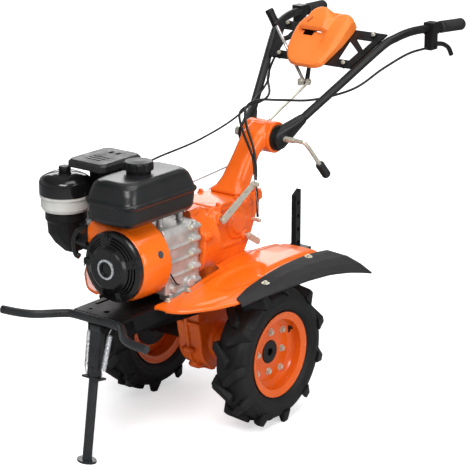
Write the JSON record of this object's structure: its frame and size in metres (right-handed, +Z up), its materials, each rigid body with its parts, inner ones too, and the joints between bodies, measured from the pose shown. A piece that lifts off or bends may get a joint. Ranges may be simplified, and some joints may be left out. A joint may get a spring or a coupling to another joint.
{
  "type": "hand tractor",
  "caption": "Walking two-wheel hand tractor with a petrol engine on a front bed, lugged tyres, folding front stand, rear implement hitch and a tilting handlebar.",
  "frame": {"origin": "middle of the overall length and width, on the ground", "axes": "+X forward towards the stand, +Y to the operator's left, +Z up"},
  "size_m": [1.4439, 0.796, 1.0362],
  "materials": {
    "orange_paint": "gloss",
    "panel_plastic": "satin",
    "black_paint": "satin",
    "black_plastic": "satin",
    "rubber": "matte",
    "tyre": "matte",
    "cast_alloy": "cast",
    "zinc": "plated",
    "bowl_plastic": "satin",
    "spring_steel": "satin"
  },
  "bodies": {
    "chassis": {"axle_case": "orange_paint", "gearbox": "orange_paint", "column": "orange_paint", "front_frame": "black_paint", "front_guard": "black_paint", "stand_bracket": "black_paint", "stand_springs": "spring_steel", "crankcase": "cast_alloy", "cylinder_head": "cast_alloy", "fan_shroud": "orange_paint", "recoil_cover": "black_plastic", "recoil_handle": "black_plastic", "fuel_tank": "black_plastic", "tank_cap": "black_plastic", "cleaner_cap": "black_plastic", "cleaner_bowl": "bowl_plastic", "cleaner_base": "black_plastic", "carburettor": "black_plastic", "muffler": "black_paint", "muffler_guard": "black_paint", "fender_left": "orange_paint", "fender_right": "orange_paint", "flap_left": "rubber", "flap_right": "rubber", "control_arms": "zinc", "hitch_bracket": "black_paint", "depth_bar": "black_paint", "cable_left": "black_plastic", "cable_right": "black_plastic", "throttle_cable": "black_plastic", "stop_wire": "black_plastic"},
    "wheel_left": {"tyre_left": "tyre", "rim_left": "orange_paint", "hub_left": "black_paint"},
    "wheel_right": {"tyre_right": "tyre", "rim_right": "orange_paint", "hub_right": "black_paint"},
    "stand": {"stand_leg": "black_paint"},
    "handlebar": {"handle_left": "black_paint", "handle_right": "black_paint", "grip_left": "rubber", "grip_right": "rubber", "clutch_lever_left": "black_paint", "clutch_lever_right": "black_paint", "panel_bracket": "black_paint", "panel_cover": "panel_plastic", "gear_lever": "black_paint", "gear_rod": "zinc", "clamp_lever": "zinc", "clamp_grip": "rubber"}
  },
  "joints": [
    {"name": "wheel_left_spin", "type": "hinge", "parent": "chassis", "child": "wheel_left", "pos_m": [0.16214, 0.2085, 0.2], "axis": [0, 1, 0], "continuous": true},
    {"name": "wheel_right_spin", "type": "hinge", "parent": "chassis", "child": "wheel_right", "pos_m": [0.16214, -0.2085, 0.2], "axis": [0, 1, 0], "continuous": true},
    {"name": "stand_fold", "type": "hinge", "parent": "chassis", "child": "stand", "pos_m": [0.61414, 0, 0.352], "axis": [0, 1, 0], "range_deg": [0, 80], "deforming": ["stand_springs"]},
    {"name": "handlebar_tilt", "type": "hinge", "parent": "chassis", "child": "handlebar", "pos_m": [-0.08686, 0, 0.721], "axis": [0, 1, 0], "range_deg": [-15, 20], "deforming": ["cable_left", "cable_right", "throttle_cable"]}
  ]
}
